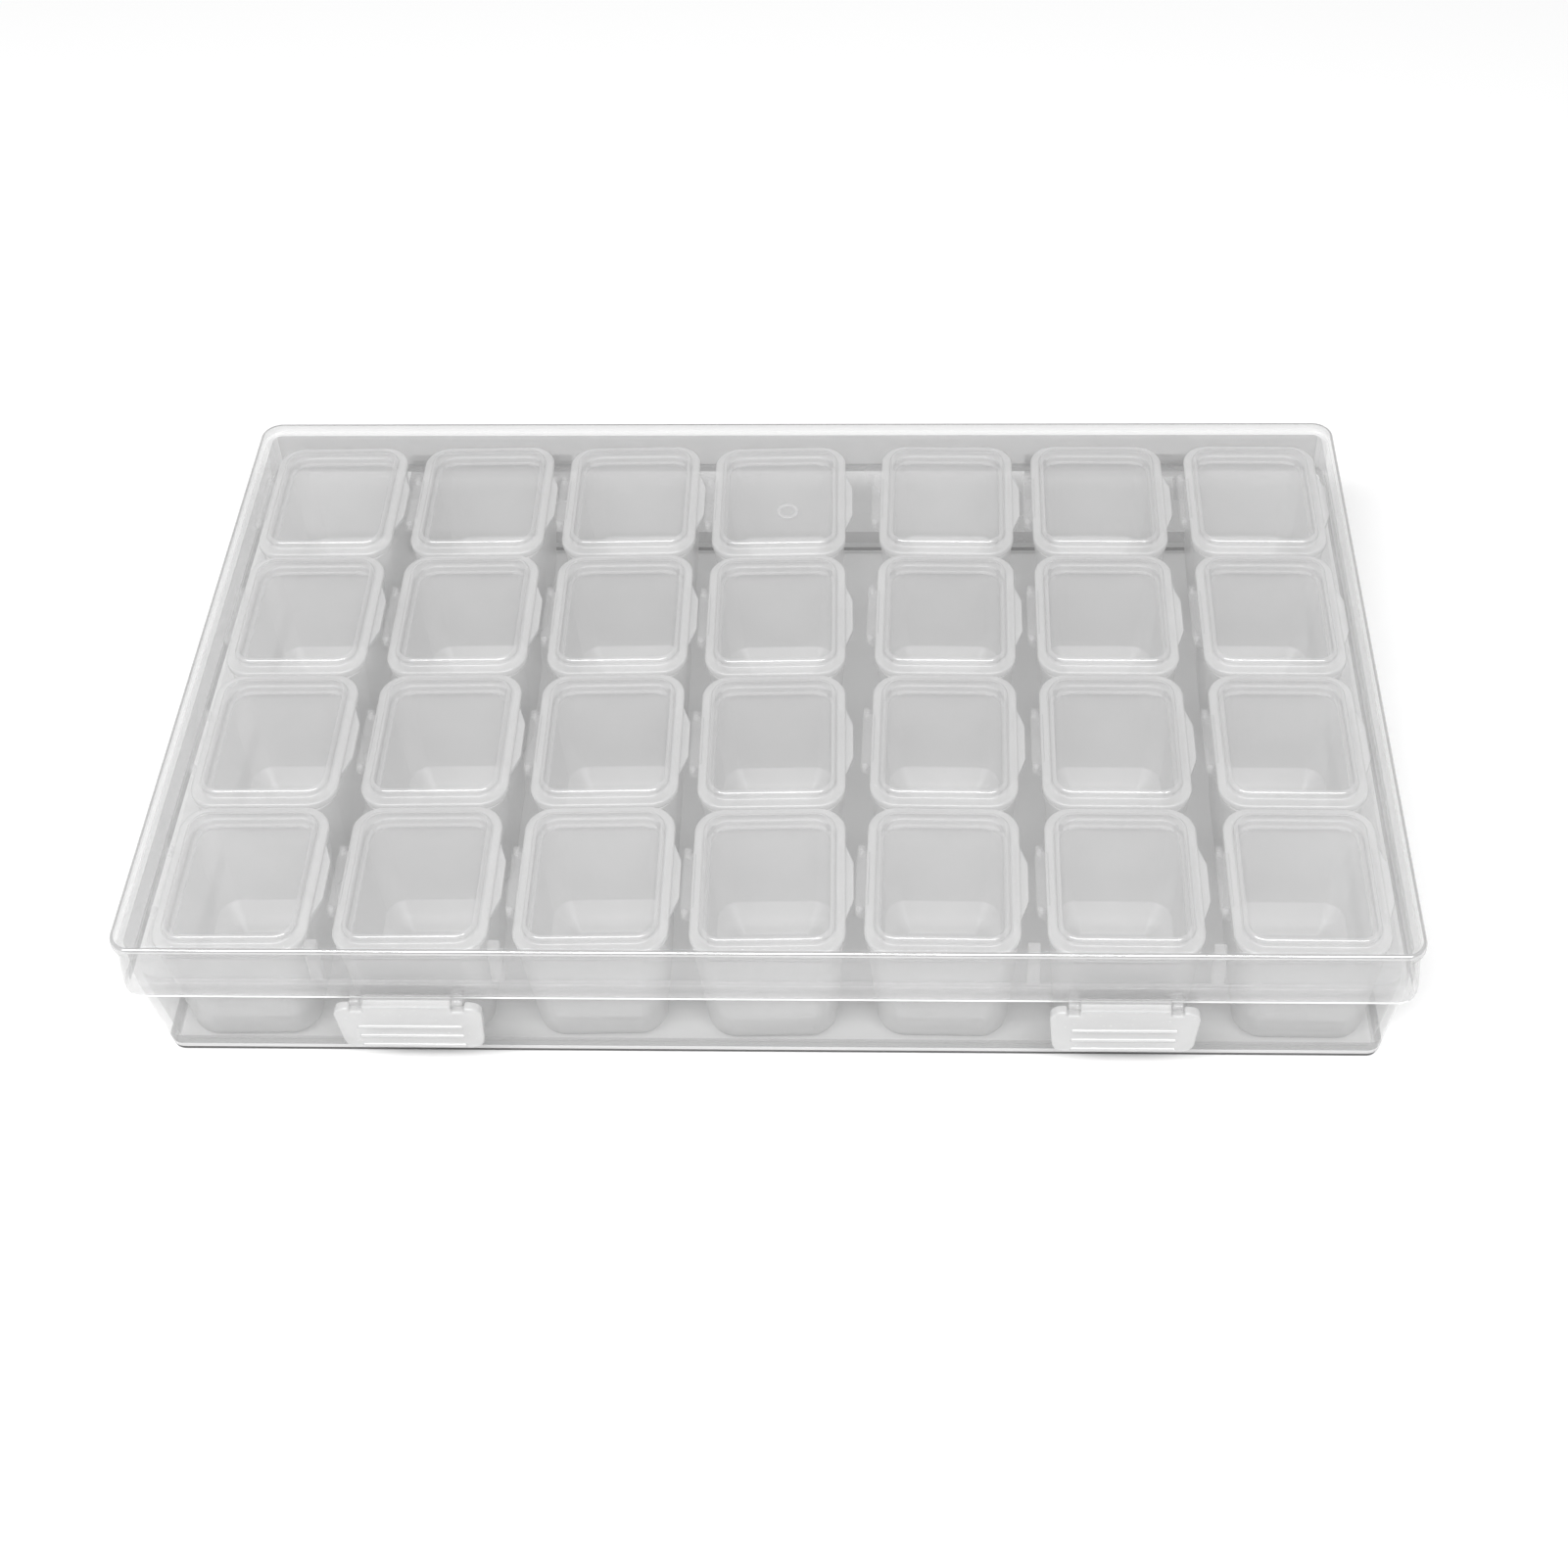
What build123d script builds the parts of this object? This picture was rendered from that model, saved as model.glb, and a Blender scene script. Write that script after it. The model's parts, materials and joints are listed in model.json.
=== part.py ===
"""Clear storage case with seven lift-out strips of four cups, each cup with its own flip lid.

The frame: millimetres, +Z up, X across the case, -Y the front with the two latches.  The origin is
on the underside of the base, at the middle of the case.  Every piece is drawn closed, where it sits.
"""

import math
import os

from build123d import *

# ---------------------------------------------------------------- driving dimensions (mm, degrees)
# Case: overall size over the lid's lip
CASE_WIDTH = 175.0
CASE_DEPTH = 107.5
CASE_HEIGHT = 26.5
CASE_CORNER = 5.0  # radius of the lid's lip at a corner
CASE_FLATS = 5  # flats in place of each rounded corner
EDGE_BREAK = 0.4  # chamfer on the lip and under the base

# Case lid
LIP_HEIGHT = 1.6
LIP_OVERHANG = 0.6
LID_WALL = 1.0
LID_PANEL = 1.2
LID_HEIGHT = 10.3  # from the lower edge of its skirt to the top of the case
SKIRT_HEIGHT = 2.3  # part of the skirt that steps out around the base's rim
SKIRT_WALL = 0.8
SKIRT_CLEARANCE = 0.15

# Case base
BASE_WALL = 1.05
BASE_FLOOR = 1.2
BASE_TAPER = 2.0  # how far each wall leans in from the parting line down to the floor
RIM_CLEARANCE = 0.3  # top of the base's rim under the step in the lid

# Cups and strips
STRIP_COUNT = 7
CUPS_PER_STRIP = 4
STRIP_SIDE_PLAY = 0.9  # between one strip's tabs and the next strip's hinges
STRIP_END_PLAY = 0.9  # at both ends of a strip together, inside the base's rim
CUP_GAP = 0.2  # between the tops of neighbouring cups
CUP_SIDE_EASE = 0.6  # how much less a cup's side walls lean in than the base's walls
CUP_END_EASE = 0.1  # the same for its end walls
CUP_FOOT_BREAK = 2.0  # height and depth of the sloped edge around a cup's foot
CUP_WALL = 0.9
CUP_FLOOR = 1.0
CUP_CORNER = 4.0
HEAD_ROOM = 0.9  # over the closed cup lids, under the case lid's panel
WEB_WIDTH = 9.0
WEB_DEPTH = 7.0
OUTER_FLATS = 2  # flats in place of each rounded corner outside a cup, a cup lid or its window
INNER_FLATS = 1  # the same inside a cup or a lid, where the corners are smaller

# How each strip lies, loose in the base: its middle off its even place (x, y), then its front end
# off its middle (x)
STRIP_LIES = (
    (0.42, -0.15, 0.66),
    (0.19, 0.05, 0.90),
    (-0.16, 0.10, 1.16),
    (-0.90, -0.10, 1.25),
    (-0.14, 0.15, -0.63),
    (-0.29, 0.20, -0.36),
    (-0.03, 0.20, -0.36),
)

# Cup lids
CUP_LID_GAP = 0.3  # between neighbouring lids of a strip
CUP_LID_OVERHANG = 0.25  # over a cup's side walls
CUP_LID_PLATE = 1.3
CUP_LID_SEAT = 0.1  # gap between a cup's top and its lid
LID_RIM_SIDE = 1.35  # from the plate's edge to the raised window
LID_RIM_END = 1.5
WINDOW_RISE = 1.1
WINDOW_CORNER = 3.0
WINDOW_WALL = 1.0
PLUG_CLEARANCE = 0.35  # around the ring under a cup lid that enters the cup
PLUG_WALL = 0.8
PLUG_DEPTH = 1.1
TAB_LENGTH = 12.8
TAB_TIP = 6.4
TAB_REACH = 1.1
TAB_THICKNESS = 0.8

# Cup lid hinge: a lid's pins turn in two clip ears on the left side of each cup
CLIP_SPAN = 11.6  # over both ears
CLIP_EAR = 1.0
CLIP_PIN = 0.6  # across the corners of its square section
CLIP_PIN_CLEARANCE = 0.05
CLIP_END_GAP = 0.1
CLIP_LIP = 0.2  # how far an ear's jaws reach past the pin
CLIP_WALL = 0.27  # of an ear, above its slot and between the slot and the lid's plate
CLIP_PLATE_GAP = 0.13
CLIP_EAR_BELOW = 2.0
TONGUE_ARC = 30.0  # round part of the lid's edge between its ears; flats carry it on

# Case hinge at the back
HINGE_FROM_END = 36.0  # middle of a barrel, from the end of the case
HINGE_SPAN = 26.8  # over both ears
HINGE_EAR = 2.0
HINGE_DROP = 1.2  # axis below the parting line
HINGE_STAND = 0.35  # barrel clear of the lid's lip
HINGE_BARREL = 1.9  # radius
HINGE_PIN = 0.9  # radius
PIN_CLEARANCE = 0.05
HINGE_END_GAP = 0.2
HINGE_ARM_DEPTH = 3.8  # height of an arm at its root
HINGE_WEB_TANGENT = 37.0  # where the lid's web runs into its barrel

# Latches at the front, each in front of the second strip from its end
LATCH_STRIP = 2  # strips from the middle of the case
LATCH_INWARD = 0.9  # towards the middle, off the strip's even place
LATCH_TOP_WIDTH = 20.4
LATCH_FOOT_WIDTH = 19.6
LATCH_AXIS_RISE = 1.2  # above the parting line
LATCH_LENGTH = 9.9  # from the axis down
LATCH_SHOULDER_DROP = 0.4  # shoulders below the axis
LATCH_THICKNESS = 1.4
LATCH_LEAN = 0.5  # how much nearer the base the foot is than the barrel
LATCH_FOOT_BREAK = 0.4
LATCH_CORNER = 1.5
LATCH_FLATS = 2  # flats in place of each rounded corner
LATCH_STAND = 0.25  # barrel clear of the lid's skirt
LATCH_BARREL = 1.0  # radius
LATCH_PIN = 0.55  # radius
LATCH_EAR = 1.4
LATCH_EAR_X = 6.9  # from the latch's middle to the middle of an ear
LATCH_END_GAP = 0.15
LATCH_NOTCH_GAP = 0.25
PAD_WIDTH = 14.2
PAD_RIBS = 3
PAD_RIB_PITCH = 2.2
PAD_RIB_HEIGHT = 1.0
PAD_RIB_RISE = 0.4
PAD_RIB_BREAK = 0.3
PAD_DROP = 4.2  # top rib below the axis
CATCH_WIDTH = 12.6
CATCH_DROP = 4.2  # middle of the catch below the parting line
CATCH_ROOT = 0.7  # half its height at the wall
CATCH_TIP = 0.35  # half its height at its edge
CATCH_REACH = 1.25
HOOK_CLEARANCE = 0.05
HOOK_DROP = 1.7  # middle of the hook below the middle of the catch

# Locating ribs inside the front wall of the lid, in the gaps on either side of a latch's strip
RIB_WIDTH = 1.7
RIB_DEPTH = 1.3

# Round forms on the case and the latches that are cut as flats, this many to the full turn
PIN_FLATS = 8
NOSE_FLATS = 12

# How far one form is sunk into the form that carries it, and how far a cutter passes its work
SINK = 0.5
PAST = 1.0

# ---------------------------------------------------------------- sizes that follow from them
LIP_X = CASE_WIDTH / 2
LIP_Y = CASE_DEPTH / 2
PARTING_HEIGHT = CASE_HEIGHT - LID_HEIGHT
LIP_BOTTOM = CASE_HEIGHT - LIP_HEIGHT
PANEL_UNDERSIDE = CASE_HEIGHT - LID_PANEL
SKIRT_TOP = PARTING_HEIGHT + SKIRT_HEIGHT
LID_INSIDE_INSET = LIP_OVERHANG + LID_WALL
RIM_INSET = SKIRT_WALL + SKIRT_CLEARANCE
RIM_INSIDE_INSET = RIM_INSET + BASE_WALL
RIM_TOP = SKIRT_TOP - RIM_CLEARANCE
FOOT_INSET = RIM_INSET + BASE_TAPER

STRIP_ROOM = (CASE_WIDTH - 2 * LID_INSIDE_INSET) / STRIP_COUNT
STRIP_LENGTH = CASE_DEPTH - 2 * RIM_INSIDE_INSET - STRIP_END_PLAY
CUP_PITCH = (STRIP_LENGTH + CUP_GAP) / CUPS_PER_STRIP
CLIP_SLOT = CLIP_PIN / 2 + CLIP_PIN_CLEARANCE  # half its height
CLIP_EAR_REACH = CLIP_SLOT + CLIP_WALL  # of an ear above the axis, and towards the plate
CLIP_AXIS_OUT = CLIP_EAR_REACH + CLIP_PLATE_GAP  # from the plate's left edge
CUP_LID_WIDTH = STRIP_ROOM - STRIP_SIDE_PLAY - TAB_REACH - CLIP_AXIS_OUT - CUP_LID_PLATE / 2
CUP_LID_DEPTH = CUP_PITCH - CUP_LID_GAP
CUP_TOP_WIDTH = CUP_LID_WIDTH - 2 * CUP_LID_OVERHANG
CUP_TOP_DEPTH = CUP_PITCH - CUP_GAP
CUP_DRAFT_SIDE = BASE_TAPER - CUP_SIDE_EASE
CUP_DRAFT_END = BASE_TAPER - CUP_END_EASE
WINDOW_WIDTH = CUP_LID_WIDTH - 2 * LID_RIM_SIDE
WINDOW_DEPTH = CUP_LID_DEPTH - 2 * LID_RIM_END
CLIP_AXIS_X = -CUP_LID_WIDTH / 2 - CLIP_AXIS_OUT

CUP_FOOT = BASE_FLOOR
WINDOW_TOP = PANEL_UNDERSIDE - HEAD_ROOM
LID_PLATE_TOP = WINDOW_TOP - WINDOW_RISE
LID_PLATE_BOTTOM = LID_PLATE_TOP - CUP_LID_PLATE
CUP_TOP = LID_PLATE_BOTTOM - CUP_LID_SEAT
CUP_HEIGHT = CUP_TOP - CUP_FOOT
PLUG_BOTTOM = LID_PLATE_BOTTOM - PLUG_DEPTH
CLIP_AXIS_Z = (LID_PLATE_BOTTOM + LID_PLATE_TOP) / 2

HINGE_X = LIP_X - HINGE_FROM_END
HINGE_Y = LIP_Y + HINGE_STAND + HINGE_BARREL
HINGE_HEIGHT = PARTING_HEIGHT - HINGE_DROP
LATCH_X = LATCH_STRIP * STRIP_ROOM - LATCH_INWARD
LATCH_Y = -LIP_Y - LATCH_STAND - LATCH_BARREL
LATCH_AXIS_HEIGHT = PARTING_HEIGHT + LATCH_AXIS_RISE
LATCH_SHOULDER = LATCH_AXIS_HEIGHT - LATCH_SHOULDER_DROP
LATCH_FOOT_HEIGHT = LATCH_AXIS_HEIGHT - LATCH_LENGTH
LATCH_FACE = LATCH_Y - LATCH_BARREL  # outer face at the barrel
LATCH_FOOT_FACE = LATCH_FACE + LATCH_LEAN
PAD_TOP = LATCH_AXIS_HEIGHT - PAD_DROP
CATCH_HEIGHT = PARTING_HEIGHT - CATCH_DROP


# ---------------------------------------------------------------- shared shapes
def case_plan(inset):
    """The points of the case's plan, drawn in from the lid's lip by inset."""
    return cut_corners(CASE_WIDTH - 2 * inset, CASE_DEPTH - 2 * inset, CASE_CORNER - inset, CASE_FLATS)


def tier(low_inset, low, high_inset, high):
    """The case's plan from one height up to another, drawn in by one inset below and another above."""
    return frustum(case_plan(low_inset), low, case_plan(high_inset), high)


def block(x, y, z):
    """A box from three (low, high) pairs."""
    box = Box(x[1] - x[0], y[1] - y[0], z[1] - z[0], align=(Align.MIN, Align.MIN, Align.MIN))
    return Pos(x[0], y[0], z[0]) * box


def cut_corners(width, depth, corner, flats):
    """The points of a rectangle whose rounded corners are cut as a few equal flats."""
    points = []
    for quarter, (side_x, side_y) in enumerate(((1, 1), (-1, 1), (-1, -1), (1, -1))):
        for step in range(flats + 1):
            angle = math.radians(90 * quarter + 90 * step / flats)
            x = side_x * (width / 2 - corner) + corner * math.cos(angle)
            y = side_y * (depth / 2 - corner) + corner * math.sin(angle)
            points.append((x, y))
    return points


def slab(points, low, high):
    """A plan given by its points, from one height up to another."""
    return extrude(Pos(0, 0, low) * Polygon(*points, align=None), amount=high - low)


def frustum(low_points, low, high_points, high):
    """A solid of flat faces from one plan's points up to another's."""
    bottom = [Vector(x, y, low) for x, y in low_points]
    top = [Vector(x, y, high) for x, y in high_points]
    rings = [bottom, top]
    for here in range(len(bottom)):
        after = (here + 1) % len(bottom)
        rings.append([bottom[here], bottom[after], top[after], top[here]])
    return Solid(Shell([Face(Wire.make_polygon(ring)) for ring in rings]))


def rod(radius, low_x, high_x, y, z):
    """A round bar along X."""
    return Pos((low_x + high_x) / 2, y, z) * Rot(0, 90, 0) * Cylinder(radius, high_x - low_x)


def side_profile(points, low_x, high_x):
    """A (y, z) profile carried along X."""
    face = Plane.YZ.offset(low_x) * Polygon(*points, align=None)
    return extrude(face, amount=high_x - low_x, dir=(1, 0, 0))


def front_profile(points, low_y, high_y):
    """An (x, z) profile carried along Y."""
    face = Plane.XZ.offset(-high_y) * Polygon(*points, align=None)
    return extrude(face, amount=high_y - low_y, dir=(0, -1, 0))


def flat_rod(radius, x, y, z, bore=False):
    """A bar along X, from x[0] to x[1], cut with flats: inside its radius, or outside it for a bore."""
    section = RegularPolygon(radius, PIN_FLATS, major_radius=not bore, rotation=180 / PIN_FLATS)
    bar = extrude(Plane.YZ * section, amount=x[1] - x[0])
    return Pos(x[0], y, z) * bar


def on_rim(y, z, radius, degrees):
    """The (y, z) point at an angle on a circle seen from the side."""
    angle = math.radians(degrees)
    return y + radius * math.cos(angle), z + radius * math.sin(angle)


def nose(y, z, radius, start, end):
    """Points around a circle seen from the side, from one angle to another."""
    steps = round(abs(end - start) * NOSE_FLATS / 360)
    return [on_rim(y, z, radius, start + (end - start) * step / steps) for step in range(steps + 1)]


def ordered(first, second):
    return min(first, second), max(first, second)


# ---------------------------------------------------------------- case base
def case_base():
    """A tray with leaning walls and an upright rim that stands inside the lid's skirt."""
    floor_inset = FOOT_INSET + BASE_WALL
    shell = tier(FOOT_INSET + EDGE_BREAK, 0, FOOT_INSET, EDGE_BREAK)
    shell += tier(FOOT_INSET, EDGE_BREAK, RIM_INSET, PARTING_HEIGHT)
    shell += tier(RIM_INSET, PARTING_HEIGHT, RIM_INSET, RIM_TOP)
    shell -= tier(floor_inset, BASE_FLOOR, RIM_INSIDE_INSET, PARTING_HEIGHT)
    shell -= tier(RIM_INSIDE_INSET, PARTING_HEIGHT, RIM_INSIDE_INSET, RIM_TOP)
    for side in (-1, 1):
        shell += base_hinge_ears(side * HINGE_X)
        shell += latch_catch(side * LATCH_X)
    return shell


def base_wall_y(height):
    """Distance of the base's outer front or back face from the middle, at a height."""
    lean = BASE_TAPER * (PARTING_HEIGHT - height) / (PARTING_HEIGHT - EDGE_BREAK)
    return LIP_Y - RIM_INSET - max(lean, 0)


def base_hinge_ears(middle):
    """Two ears that carry the pins of one of the lid's hinge barrels."""
    root_low = HINGE_HEIGHT - HINGE_ARM_DEPTH
    profile = [(base_wall_y(root_low) - BASE_WALL / 2, root_low)]
    profile += nose(HINGE_Y, HINGE_HEIGHT, HINGE_BARREL, -60, 180)
    profile += [(base_wall_y(HINGE_HEIGHT) - BASE_WALL / 2, HINGE_HEIGHT)]
    ears = Part()
    for side in (-1, 1):
        outer = middle + side * HINGE_SPAN / 2
        ears += side_profile(profile, *ordered(outer, outer - side * HINGE_EAR))
    half = HINGE_SPAN / 2 + PAST
    across = (middle - half, middle + half)
    return ears - flat_rod(HINGE_PIN + PIN_CLEARANCE, across, HINGE_Y, HINGE_HEIGHT, bore=True)


def latch_catch(middle):
    """The ridge on the front wall that a latch's hook goes under."""
    wall = -base_wall_y(CATCH_HEIGHT)
    root = wall + BASE_WALL / 2
    edge = wall - CATCH_REACH
    ridge = [
        (root, CATCH_HEIGHT + 2 * CATCH_ROOT),
        (edge, CATCH_HEIGHT + CATCH_TIP),
        (edge, CATCH_HEIGHT - CATCH_TIP),
        (root, CATCH_HEIGHT - CATCH_ROOT),
    ]
    return side_profile(ridge, middle - CATCH_WIDTH / 2, middle + CATCH_WIDTH / 2)


# ---------------------------------------------------------------- case lid
def case_lid():
    """A panel with a lip and walls, whose skirt steps out around the base's rim."""
    panel_edge = CASE_HEIGHT - EDGE_BREAK
    skirt_inside_top = RIM_TOP + SKIRT_CLEARANCE
    shell = tier(0, PARTING_HEIGHT, 0, SKIRT_TOP)
    shell += tier(LIP_OVERHANG, SKIRT_TOP, LIP_OVERHANG, LIP_BOTTOM)
    shell += tier(0, LIP_BOTTOM, 0, panel_edge)
    shell += tier(0, panel_edge, EDGE_BREAK, CASE_HEIGHT)
    shell -= tier(LID_INSIDE_INSET, skirt_inside_top, LID_INSIDE_INSET, PANEL_UNDERSIDE)
    shell -= tier(SKIRT_WALL, PARTING_HEIGHT, SKIRT_WALL, skirt_inside_top)
    for side in (-1, 1):
        shell += locating_ribs(side * LATCH_X)
        shell += latch_ears(side * LATCH_X)
        shell += lid_hinge_barrel(side * HINGE_X)
    return shell


def locating_ribs(middle):
    """Two ribs inside the front wall, that stand in the gaps on either side of a strip."""
    wall = -LIP_Y + LID_INSIDE_INSET
    ribs = Part()
    for side in (-1, 1):
        x = middle + side * STRIP_ROOM / 2
        across = (x - RIB_WIDTH / 2, x + RIB_WIDTH / 2)
        depth = (wall - LID_WALL / 2, wall + RIB_DEPTH)
        ribs += block(across, depth, (SKIRT_TOP, PANEL_UNDERSIDE + LID_PANEL / 2))
    return ribs


def latch_ears(middle):
    """Two ears on the skirt, that carry one latch."""
    root = -LIP_Y + SKIRT_WALL / 2
    around = nose(LATCH_Y, LATCH_AXIS_HEIGHT, LATCH_BARREL, 90, 270)
    profile = [(root, SKIRT_TOP), *around, (root, PARTING_HEIGHT)]
    ears = Part()
    for side in (-1, 1):
        x = middle + side * LATCH_EAR_X
        ears += side_profile(profile, x - LATCH_EAR / 2, x + LATCH_EAR / 2)
    half = LATCH_EAR_X + LATCH_EAR / 2 + PAST
    across = (middle - half, middle + half)
    return ears - flat_rod(LATCH_PIN + PIN_CLEARANCE, across, LATCH_Y, LATCH_AXIS_HEIGHT, bore=True)


def lid_hinge_barrel(middle):
    """A barrel with a pin at each end, on a web from the back of the skirt."""
    half = HINGE_SPAN / 2 - HINGE_EAR - HINGE_END_GAP
    root = LIP_Y - SKIRT_WALL / 2
    web = [
        (root, PARTING_HEIGHT),
        (HINGE_Y, HINGE_HEIGHT),
        on_rim(HINGE_Y, HINGE_HEIGHT, HINGE_BARREL, HINGE_WEB_TANGENT),
        (root, SKIRT_TOP),
    ]
    barrel = side_profile(web, middle - half, middle + half)
    barrel += rod(HINGE_BARREL, middle - half, middle + half, HINGE_Y, HINGE_HEIGHT)
    pin_half = HINGE_SPAN / 2 - HINGE_END_GAP
    return barrel + flat_rod(HINGE_PIN, (middle - pin_half, middle + pin_half), HINGE_Y, HINGE_HEIGHT)


# ---------------------------------------------------------------- latches
def latch(middle):
    """A plate under a barrel with two pins, with a ribbed thumb pad outside and a hook inside."""
    plate_profile = [
        (LATCH_FACE, LATCH_AXIS_HEIGHT),
        (LATCH_FOOT_FACE, LATCH_FOOT_HEIGHT + LATCH_FOOT_BREAK),
        (LATCH_FOOT_FACE + LATCH_FOOT_BREAK, LATCH_FOOT_HEIGHT),
        (LATCH_FOOT_FACE + LATCH_THICKNESS, LATCH_FOOT_HEIGHT),
        (LATCH_FACE + LATCH_THICKNESS, LATCH_AXIS_HEIGHT),
    ]
    plate = side_profile(plate_profile, middle - LATCH_TOP_WIDTH / 2, middle + LATCH_TOP_WIDTH / 2)
    plate &= front_outline(middle)
    plate += latch_hook(middle)
    for number in range(PAD_RIBS):
        plate += pad_rib(middle, PAD_TOP - PAD_RIB_PITCH * number)
    notch_half = LATCH_EAR / 2 + LATCH_END_GAP
    notch_floor = LATCH_AXIS_HEIGHT - LATCH_BARREL - LATCH_NOTCH_GAP
    for side in (-1, 1):
        x = middle + side * LATCH_EAR_X
        through = (LATCH_FACE - PAST, LATCH_FACE + LATCH_THICKNESS + PAST)
        plate -= block((x - notch_half, x + notch_half), through, (notch_floor, LATCH_AXIS_HEIGHT + PAST))
    barrel_half = LATCH_EAR_X - notch_half
    plate += rod(LATCH_BARREL, middle - barrel_half, middle + barrel_half, LATCH_Y, LATCH_AXIS_HEIGHT)
    pin_half = LATCH_EAR_X + LATCH_EAR / 2
    return plate + flat_rod(LATCH_PIN, (middle - pin_half, middle + pin_half), LATCH_Y, LATCH_AXIS_HEIGHT)


def front_outline(middle):
    """The latch's plate seen from the front: it narrows a little downwards, with rounded corners."""
    height = LATCH_SHOULDER - LATCH_FOOT_HEIGHT
    points = []
    for x, z in cut_corners(LATCH_TOP_WIDTH, height, LATCH_CORNER, LATCH_FLATS):
        below_shoulder = 0.5 - z / height
        narrowing = 1 - below_shoulder * (1 - LATCH_FOOT_WIDTH / LATCH_TOP_WIDTH)
        points.append((x * narrowing, LATCH_FOOT_HEIGHT + height / 2 + z))
    plate = Polygon(*points, align=None)
    half_neck = LATCH_EAR_X + LATCH_EAR / 2
    neck_low = LATCH_SHOULDER - LATCH_CORNER
    neck = Polygon(
        (-half_neck, neck_low),
        (half_neck, neck_low),
        (half_neck, LATCH_AXIS_HEIGHT),
        (-half_neck, LATCH_AXIS_HEIGHT),
        align=None,
    )
    depth = 2 * (LATCH_THICKNESS + LATCH_LEAN + PAST)
    outline_solid = extrude(Plane.XZ * (plate + neck), amount=depth, dir=(0, -1, 0))
    return Pos(middle, LATCH_FACE + depth / 2, 0) * outline_solid


def latch_hook(middle):
    """The ridge inside the plate that goes under the catch."""
    height = CATCH_HEIGHT - HOOK_DROP
    tip = -base_wall_y(CATCH_HEIGHT) - CATCH_REACH - HOOK_CLEARANCE
    root = LATCH_FOOT_FACE + LATCH_THICKNESS / 2
    hook = [
        (tip, height + CATCH_TIP),
        (root, height + CATCH_ROOT),
        (root, height - 2 * CATCH_ROOT),
        (tip, height - CATCH_TIP),
    ]
    return side_profile(hook, middle - CATCH_WIDTH / 2, middle + CATCH_WIDTH / 2)


def latch_face_y(height):
    """The leaning outer face of a latch, at a height."""
    return LATCH_FACE + LATCH_LEAN * (LATCH_AXIS_HEIGHT - height) / LATCH_LENGTH


def pad_rib(middle, top):
    """One ridge of the thumb pad."""
    bottom = top - PAD_RIB_HEIGHT
    ridge = [
        (latch_face_y(top) + SINK, top),
        (latch_face_y(top) - PAD_RIB_RISE, top - PAD_RIB_BREAK),
        (latch_face_y(bottom) - PAD_RIB_RISE, bottom + PAD_RIB_BREAK),
        (latch_face_y(bottom) + SINK, bottom),
    ]
    return side_profile(ridge, middle - PAD_WIDTH / 2, middle + PAD_WIDTH / 2)


# ---------------------------------------------------------------- strips of cups
def cup_plan(height, inset, flats):
    """The points of a cup's plan at a height, drawn in from its outer face by inset."""
    share = (CUP_TOP - height) / CUP_HEIGHT
    width = CUP_TOP_WIDTH - 2 * CUP_DRAFT_SIDE * share - 2 * inset
    depth = CUP_TOP_DEPTH - 2 * CUP_DRAFT_END * share - 2 * inset
    return cut_corners(width, depth, CUP_CORNER - inset, flats)


def cup():
    """One open cup: a sloped edge around its foot, then walls that lean out."""
    edge = CUP_FOOT + CUP_FOOT_BREAK
    foot_plan = cup_plan(CUP_FOOT, CUP_FOOT_BREAK, OUTER_FLATS)
    edge_plan = cup_plan(edge, 0, OUTER_FLATS)
    form = frustum(foot_plan, CUP_FOOT, edge_plan, edge)
    form += frustum(edge_plan, edge, cup_plan(CUP_TOP, 0, OUTER_FLATS), CUP_TOP)
    floor = CUP_FOOT + CUP_FLOOR
    floor_plan = cup_plan(floor, CUP_WALL + CUP_FLOOR, INNER_FLATS)
    return form - frustum(floor_plan, floor, cup_plan(CUP_TOP, CUP_WALL, INNER_FLATS), CUP_TOP)


def clip_ears():
    """The two ears on a cup's left side, each open to the left, where a lid's pins snap in."""
    root = -CUP_TOP_WIDTH / 2 + CUP_WALL / 2
    mouth = CLIP_AXIS_X - CLIP_PIN / 2 - CLIP_LIP
    back = CLIP_AXIS_X + CLIP_SLOT
    shoulder = CUP_TOP - CUP_LID_SEAT
    corner_cut = CLIP_EAR_REACH / 2  # keeps the corner inside the turn of the plate's edge
    profile = [
        (root, CLIP_AXIS_Z - CLIP_EAR_BELOW),
        (root, shoulder),
        (CLIP_AXIS_X + CLIP_EAR_REACH, shoulder),
        (CLIP_AXIS_X + CLIP_EAR_REACH, CLIP_AXIS_Z + CLIP_EAR_REACH - corner_cut),
        (CLIP_AXIS_X + CLIP_EAR_REACH - corner_cut, CLIP_AXIS_Z + CLIP_EAR_REACH),
        (mouth, CLIP_AXIS_Z + CLIP_EAR_REACH),
        (mouth, CLIP_AXIS_Z + CLIP_SLOT),
        (back, CLIP_AXIS_Z + CLIP_SLOT),
        (back, CLIP_AXIS_Z - CLIP_SLOT),
        (mouth, CLIP_AXIS_Z - CLIP_SLOT),
    ]
    return Part() + [
        front_profile(profile, *ordered(side * CLIP_SPAN / 2, side * (CLIP_SPAN / 2 - CLIP_EAR)))
        for side in (-1, 1)
    ]


def cup_positions():
    """The middle of each cup along its strip, from the front."""
    return [(number - (CUPS_PER_STRIP - 1) / 2) * CUP_PITCH for number in range(CUPS_PER_STRIP)]


def strip():
    """Four cups joined by webs, with the clip ears for their lids."""
    one_cup = cup() + clip_ears()
    body = Part()
    for y in cup_positions():
        body += Pos(0, y, 0) * one_cup
    web_half = CUP_GAP / 2 + CUP_WALL / 2
    for front, back in zip(cup_positions(), cup_positions()[1:]):
        middle = (front + back) / 2
        along = (middle - web_half, middle + web_half)
        body += block((-WEB_WIDTH / 2, WEB_WIDTH / 2), along, (CUP_TOP - WEB_DEPTH, CUP_TOP))
    return body


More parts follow.
